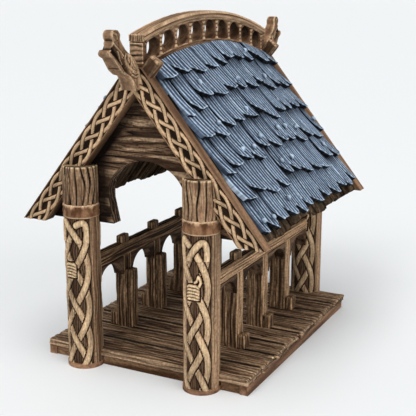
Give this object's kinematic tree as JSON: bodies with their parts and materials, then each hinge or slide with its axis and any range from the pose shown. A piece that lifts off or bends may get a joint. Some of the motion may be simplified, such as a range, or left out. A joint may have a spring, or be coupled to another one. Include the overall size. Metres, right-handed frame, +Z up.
{
  "type": "model lychgate",
  "caption": "Small carved timber lychgate for tabletop scenery: log posts on a plank deck, arched gables, arcaded side rails and a steep shingled roof with a dragon-headed crest.",
  "frame": {"origin": "on the ground, at the middle of the deck", "axes": "+Z up, -Y towards the front gable along the way through, +X to the right when looking in from the front"},
  "size_m": [0.082, 0.1174, 0.1077],
  "materials": {
    "carved_timber": "matte",
    "log_timber": "matte",
    "collar_band": "satin",
    "deck_board": "matte",
    "deck_beam": "matte",
    "roof_board": "matte",
    "slate_blue_shingle": "matte"
  },
  "bodies": {
    "root": {"arch_braces_left": "carved_timber", "arch_braces_right": "carved_timber", "baluster_left_1": "carved_timber", "baluster_left_2": "carved_timber", "baluster_left_3": "carved_timber", "baluster_right_1": "carved_timber", "baluster_right_2": "carved_timber", "baluster_right_3": "carved_timber", "bargeboard_front_left": "carved_timber", "bargeboard_front_right": "carved_timber", "bargeboard_rear_left": "carved_timber", "bargeboard_rear_right": "carved_timber", "crest_rail": "carved_timber", "crest_web": "carved_timber", "crossing_ends_front": "carved_timber", "crossing_ends_rear": "carved_timber", "deck_boards": "deck_board", "deck_joists": "deck_beam", "dragon_head_front": "carved_timber", "dragon_head_rear": "carved_timber", "end_sills": "deck_beam", "foot_blocks": "carved_timber", "gable_board_front": "carved_timber", "gable_board_rear": "carved_timber", "handrail_left": "carved_timber", "handrail_right": "carved_timber", "inner_planks": "carved_timber", "post_collars": "collar_band", "post_foot_rings": "log_timber", "post_front_left": "log_timber", "post_front_right": "log_timber", "post_rear_left": "log_timber", "post_rear_right": "log_timber", "post_top_front_left": "log_timber", "post_top_front_right": "log_timber", "post_top_rear_left": "log_timber", "post_top_rear_right": "log_timber", "rail_tenons": "carved_timber", "ridge_beam": "carved_timber", "roof_boards_left": "roof_board", "roof_boards_right": "roof_board", "shingle_courses_left": "slate_blue_shingle", "shingle_courses_right": "slate_blue_shingle", "side_sill_left": "deck_beam", "side_sill_right": "deck_beam"}
  },
  "joints": []
}
